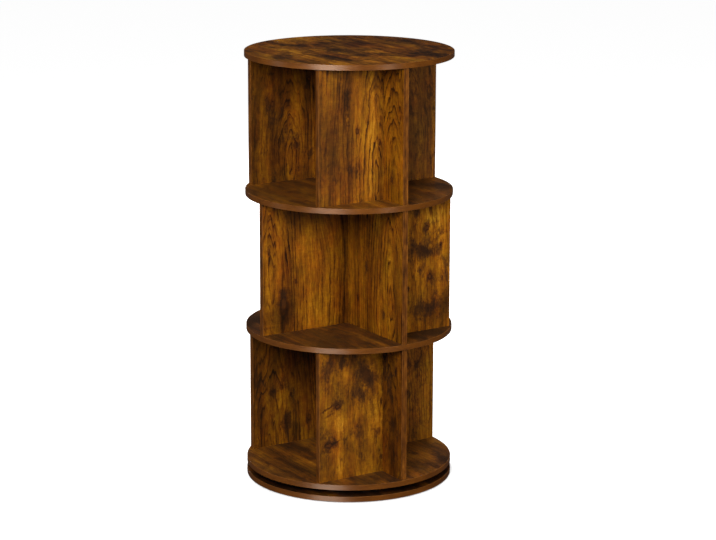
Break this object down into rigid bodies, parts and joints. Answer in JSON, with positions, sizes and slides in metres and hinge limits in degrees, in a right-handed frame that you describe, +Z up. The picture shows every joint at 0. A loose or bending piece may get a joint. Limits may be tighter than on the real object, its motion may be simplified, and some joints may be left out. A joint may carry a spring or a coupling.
{
  "type": "revolving bookcase",
  "caption": "Round floor-standing revolving bookcase: stacked disc shelves joined by crossed upright boards, turning together on a ring bearing above a fixed floor disc.",
  "frame": {"origin": "on the floor at the turning axis, level with the underside of the foot pads", "axes": "+Z up along the turning axis; +X along the fin boards of the bottom and top tier; Y along the spine boards, so that every upright board lies along X or Y"},
  "size_m": [0.46, 0.46, 0.9614],
  "materials": {
    "woodgrain_board": "satin rustic-brown woodgrain foil on particle board",
    "edge_banding": "satin red-brown edge banding",
    "pad_foam": "matt foam rubber",
    "race_aluminium": "extruded aluminium, plain",
    "zinc_screw": "bright zinc plated",
    "bearing_ball": "polished steel",
    "cage_nylon": "natural nylon",
    "cam_zinc": "die-cast zinc, bright",
    "bolt_steel": "bright zinc plated",
    "beech_dowel": "raw fluted beech"
  },
  "bodies": {
    "base": {"base_disc": "woodgrain_board", "base_disc_edge_band": "edge_banding", "foot_pads": "pad_foam", "turntable_lower_race": "race_aluminium", "turntable_lower_race_screws": "zinc_screw"},
    "ball_ring": {"turntable_balls": "bearing_ball", "turntable_ball_cage": "cage_nylon"},
    "carousel": {"turntable_upper_race": "race_aluminium", "turntable_upper_race_screws": "zinc_screw", "bottom_shelf": "woodgrain_board", "bottom_shelf_edge_band": "edge_banding", "bottom_shelf_cam_bolts": "bolt_steel", "bottom_shelf_dowels": "beech_dowel", "lower_middle_shelf": "woodgrain_board", "lower_middle_shelf_edge_band": "edge_banding", "lower_middle_shelf_cam_bolts": "bolt_steel", "lower_middle_shelf_dowels": "beech_dowel", "lower_middle_shelf_double_bolts": "bolt_steel", "upper_middle_shelf": "woodgrain_board", "upper_middle_shelf_edge_band": "edge_banding", "upper_middle_shelf_cam_bolts": "bolt_steel", "upper_middle_shelf_dowels": "beech_dowel", "upper_middle_shelf_double_bolts": "bolt_steel", "top_board": "woodgrain_board", "top_board_edge_band": "edge_banding", "top_board_cam_bolts": "bolt_steel", "top_board_dowels": "beech_dowel", "bottom_tier_spine_board": "woodgrain_board", "bottom_tier_fin_board": "woodgrain_board", "bottom_tier_front_side_board": "woodgrain_board", "bottom_tier_rear_side_board": "woodgrain_board", "bottom_tier_end_bands": "edge_banding", "bottom_tier_cam_locks": "cam_zinc", "bottom_tier_cross_dowels": "beech_dowel", "middle_tier_spine_board": "woodgrain_board", "middle_tier_fin_board": "woodgrain_board", "middle_tier_front_side_board": "woodgrain_board", "middle_tier_rear_side_board": "woodgrain_board", "middle_tier_end_bands": "edge_banding", "middle_tier_cam_locks": "cam_zinc", "middle_tier_cross_dowels": "beech_dowel", "top_tier_spine_board": "woodgrain_board", "top_tier_fin_board": "woodgrain_board", "top_tier_front_side_board": "woodgrain_board", "top_tier_rear_side_board": "woodgrain_board", "top_tier_end_bands": "edge_banding", "top_tier_cam_locks": "cam_zinc", "top_tier_cross_dowels": "beech_dowel"}
  },
  "joints": [
    {"name": "carousel_spin", "type": "hinge", "parent": "base", "child": "carousel", "pos_m": [0, 0, 0.0212], "axis": [0, 0, 1], "continuous": true},
    {"name": "ball_ring_spin", "type": "hinge", "parent": "base", "child": "ball_ring", "pos_m": [0, 0, 0.0212], "axis": [0, 0, 1], "continuous": true}
  ],
  "couplings": [
    {"joint": "ball_ring_spin", "follows": "carousel_spin", "ratio": 0.5}
  ]
}
